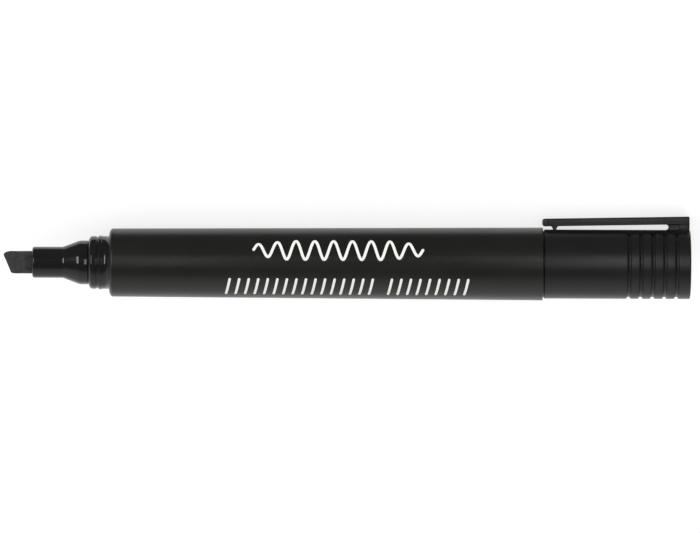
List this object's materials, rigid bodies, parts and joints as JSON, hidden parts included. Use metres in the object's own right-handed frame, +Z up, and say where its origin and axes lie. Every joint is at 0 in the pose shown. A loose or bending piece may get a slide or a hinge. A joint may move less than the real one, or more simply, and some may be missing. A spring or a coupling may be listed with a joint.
{
  "type": "marker pen",
  "caption": "Black chisel-tip marker pen with its ribbed clip cap pushed on the tail; the cap turns and pulls off, and the clip flexes.",
  "frame": {"origin": "on the pen's axis, in the plane of the barrel's front shoulder, where the cap's mouth stops when it is on the writing end", "axes": "+X runs along the pen towards the closed end of the cap, -X towards the nib; +Z is up, with the pen lying on its barrel and the corner of its clip, which is on the +Y side"},
  "size_m": [0.1529, 0.0178, 0.0162],
  "materials": {
    "barrel_black": "fine satin, moulded polypropylene",
    "nose_black": "polished, moulded polypropylene",
    "nib_felt": "bonded felt, soaked with black ink",
    "core_fibre": "fibre bundle, soaked with black ink",
    "wrap_film": "clear film",
    "tail_black": "polished, moulded polypropylene",
    "liner_black": "smooth, moulded polyethylene",
    "cap_black": "fine satin, moulded polypropylene"
  },
  "bodies": {
    "barrel": {"barrel_tube": "barrel_black", "nose_section": "nose_black", "nib": "nib_felt", "ink_reservoir": "core_fibre", "reservoir_wrap": "wrap_film", "tail_plug": "tail_black"},
    "liner": {"cap_liner": "liner_black"},
    "cap": {"cap_shell": "cap_black"},
    "clip": {"cap_clip": "cap_black"}
  },
  "joints": [
    {"name": "cap_pull", "type": "slide", "parent": "barrel", "child": "liner", "axis": [1, 0, 0], "range_m": [0, 0.03]},
    {"name": "cap_turn", "type": "hinge", "parent": "liner", "child": "cap", "pos_m": [0.0967, 0, 0], "axis": [1, 0, 0], "continuous": true},
    {"name": "clip_flex", "type": "hinge", "parent": "cap", "child": "clip", "pos_m": [0.1249, 0.00774, -0.00587], "axis": [0, -0.6041, -0.7969], "range_deg": [0, 3], "stiffness_Nm_per_rad": 0.28, "springref_deg": -0.57}
  ]
}
